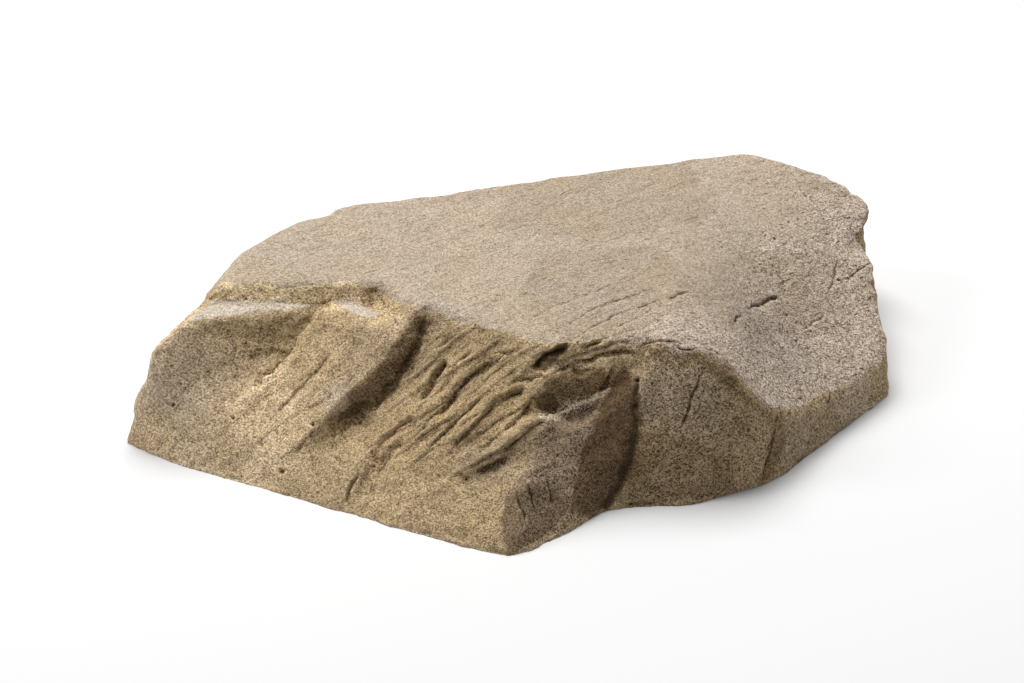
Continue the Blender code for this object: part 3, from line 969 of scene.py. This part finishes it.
def sandstone():
    """The stone's material: a base colour, a lightness that varies from grain to grain, and their relief."""
    g = Graph("sandstone")
    place = g.node("ShaderNodeTexCoord").outputs["Object"]
    top, bank = g.attribute("top"), g.attribute("bank")
    below = g.less(1.0, top, TOP_STAINLESS)

    # Each grain has its own brightness
    grain = g.node("ShaderNodeTexVoronoi", {"Vector": place, "Scale": GRAIN_SCALE}).outputs["Color"]
    grain = g.node("ShaderNodeSeparateColor", {"Color": grain}).outputs[0]
    dust = g.noise(place, DUST_SCALE, 1.0, 0.5)
    clumps = g.noise(place, CLUMP_SCALE, 2.0, 0.6)
    coarse = g.less(1.0, top, TOP_FINER)
    coarse = g.more(coarse, bank, BANK_COARSER)
    coarse = g.more(coarse, g.attribute("shaded"), SHADED_COARSER)
    light = g.calc("ADD", g.around(grain, GRAIN_CONTRAST), g.around(dust, DUST_CONTRAST))
    light = g.calc("ADD", light, g.around(clumps, CLUMP_CONTRAST))

    # Short dark flecks drawn out along the layers, small dark specks and larger pits
    fleck = g.noise(drawn_out(g, place, FLECK_LENGTH), FLECK_SCALE, 2.0, 0.6)
    fleck = g.times(g.span(fleck, *FLECK_SPAN), top)
    speck = dots(g, place, SPECK_SCALE, SPECK_RADIUS, SPECK_LEAST)
    pit = dots(g, place, PIT_SCALE, PIT_RADIUS, PIT_LEAST)
    light = g.less(light, fleck, FLECK_DEPTH)
    light = g.less(light, speck, SPECK_DEPTH)
    light = g.less(light, pit, PIT_DEPTH)

    # Hollows are painted darker as shade, ridges are rubbed pale
    near_hollow = g.attribute("near_hollow")
    light = g.less(light, g.span(near_hollow, *HOLLOW_SHADE_SPAN), HOLLOW_SHADE_DEPTH)
    light = g.more(light, g.span(near_hollow, *RUBBED_SPAN), RUBBED_LIGHT)
    light = g.calc("ADD", g.times(light, coarse), 1.0)
    # Wide hollows, mostly off the top, are painted darker too: painted shade
    sunken = g.times(g.span(g.attribute("wide_hollow"), *SUNKEN_SPAN), below)
    light = g.less(light, sunken, SUNKEN_DEPTH)

    # Crevices and the places that are painted darker or lighter: painted shade on the steep sides of grooves,
    # in the notch, the pockets and on the slab's wall, painted light on lips and crests, and stains
    light = g.times(light, g.span(g.attribute("crevice"), 0.0, 1.0, 1.0, CREVICE_LIGHT))
    light = g.times(light, g.span(g.attribute("dark"), 0.0, 1.0, 1.0, DARK_LIGHT))
    light = g.times(light, g.calc("SUBTRACT", 1.0, g.attribute("shade_and_stain")))
    light = g.times(light, g.span(g.times(g.attribute("pale"), below), 0.0, 1.0, 1.0, PALE_LIGHT))
    light = g.times(light, g.span(g.attribute("lit"), 0.0, 1.0, 1.0, LIT_LIGHT))
    light = g.calc("MAXIMUM", light, LEAST_LIGHT)
    red, blue = g.calc("POWER", light, RED_POWER), g.calc("POWER", light, BLUE_POWER)
    tint = g.node("ShaderNodeCombineColor", {"Red": red, "Green": light, "Blue": blue}).outputs[0]
    colour = g.blend(1.0, base_colour(g, place, top, bank, below), tint, "MULTIPLY")
    g.put(g.shader.inputs["Base Color"], colour)
    g.put(g.shader.inputs["Roughness"], g.span(grain, 0.0, 1.0, *ROUGHNESS))
    g.shader.inputs["Specular IOR Level"].default_value = SPECULAR

    # Relief of the grains, with the flecks, specks and pits sunk into it
    grit = g.noise(place, GRIT_SCALE, 2.0, 0.6)
    swell = g.noise(place, SWELL_SCALE, 2.0, 0.6)
    height = g.more(g.times(grain, GRAIN_SHARE), grit, GRIT_SHARE)
    height = g.more(height, swell, SWELL_SHARE)
    height = g.calc("SUBTRACT", height, g.more(pit, g.calc("ADD", fleck, speck), 0.5))
    height = g.times(height, coarse)
    bump = g.node("ShaderNodeBump", {"Height": height, "Strength": 1.0, "Distance": GRAIN_HEIGHT})
    g.put(g.shader.inputs["Normal"], bump.outputs["Normal"])
    return g.material


def make_stone():
    fine = remeshed(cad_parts["boulder"])
    masks = roughened(fine)
    for name, values in masks.items():
        add_mask(fine, name, values)
    holder = new_object("holder", fine)
    lines = holder.vertex_groups.new(name="lines")
    lines.add([int(k) for k in np.nonzero(masks["crevice"] > LINE_LEAST)[0]], LINE_KEPT, "REPLACE")
    thin = holder.modifiers.new("fewer", "DECIMATE")
    thin.ratio = TRIANGLES / (2 * len(fine.polygons))
    thin.vertex_group = "lines"
    thin.invert_vertex_group = True
    mesh = modified(holder)
    bpy.data.objects.remove(holder)
    low, high = (np.array(c) for c in CAD_BOX)
    set_coordinates(mesh, np.clip(coordinates(mesh), low, high))
    mesh.shade_smooth()
    for name, values in {**hollows(mesh), **stains_and_painted_shading(mesh)}.items():
        add_mask(mesh, name, values)
    stone = new_object("stone", mesh)
    mesh.materials.clear()
    mesh.materials.append(sandstone())
    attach(stone, "root")
    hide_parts("boulder")


def make_floor():
    mesh = bpy.data.meshes.new("floor")
    half = FLOOR_HALF
    corners = [(-half, -half, 0), (half, -half, 0), (half, half, 0), (-half, half, 0)]
    mesh.from_pydata(corners, [], [(0, 1, 2, 3)])
    floor = new_object("floor", mesh)
    material = bpy.data.materials.new("floor")
    material.use_nodes = True
    shader = material.node_tree.nodes["Principled BSDF"]
    shader.inputs["Base Color"].default_value = FLOOR_COLOUR
    shader.inputs["Roughness"].default_value = FLOOR_ROUGHNESS
    shader.inputs["Specular IOR Level"].default_value = FLOOR_SPECULAR
    mesh.materials.append(material)


def area_light(name, place, width, height, power):
    data = bpy.data.lights.new(name, "AREA")
    data.shape = "RECTANGLE"
    data.size, data.size_y, data.energy = width, height, power
    light = new_object(name, data)
    light.location = place
    light.rotation_euler = (LIGHTS_AIM - Vector(place)).to_track_quat("-Z", "Y").to_euler()


def light_and_camera():
    world = bpy.data.worlds.new("studio")
    world.use_nodes = True
    back = world.node_tree.nodes["Background"]
    back.inputs["Color"].default_value = (1, 1, 1, 1)
    back.inputs["Strength"].default_value = WORLD_LIGHT
    scene = bpy.context.scene
    scene.world = world
    for name, place, width, height, power in AREA_LIGHTS:
        area_light(name, place, width, height, power)
    camera = bpy.data.cameras.new("camera")
    camera.sensor_width = SENSOR_WIDTH
    camera.lens = FOCAL_PX * SENSOR_WIDTH / IMAGE[0]
    eye = new_object("camera", camera)
    eye.location = camera_ray(IMAGE[0] / 2, IMAGE[1] / 2)[0]
    eye.rotation_euler = (math.radians(90 - CAMERA_ELEVATION), 0, 0)
    scene.camera = eye
    scene.view_settings.view_transform = "Standard"


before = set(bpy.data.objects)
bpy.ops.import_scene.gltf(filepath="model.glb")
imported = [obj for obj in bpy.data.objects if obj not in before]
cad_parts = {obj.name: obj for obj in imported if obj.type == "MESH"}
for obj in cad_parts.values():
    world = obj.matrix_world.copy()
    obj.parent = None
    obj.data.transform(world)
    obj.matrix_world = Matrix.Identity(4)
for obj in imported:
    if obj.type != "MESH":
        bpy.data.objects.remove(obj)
CAD_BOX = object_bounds()
make_stone()
make_floor()
light_and_camera()
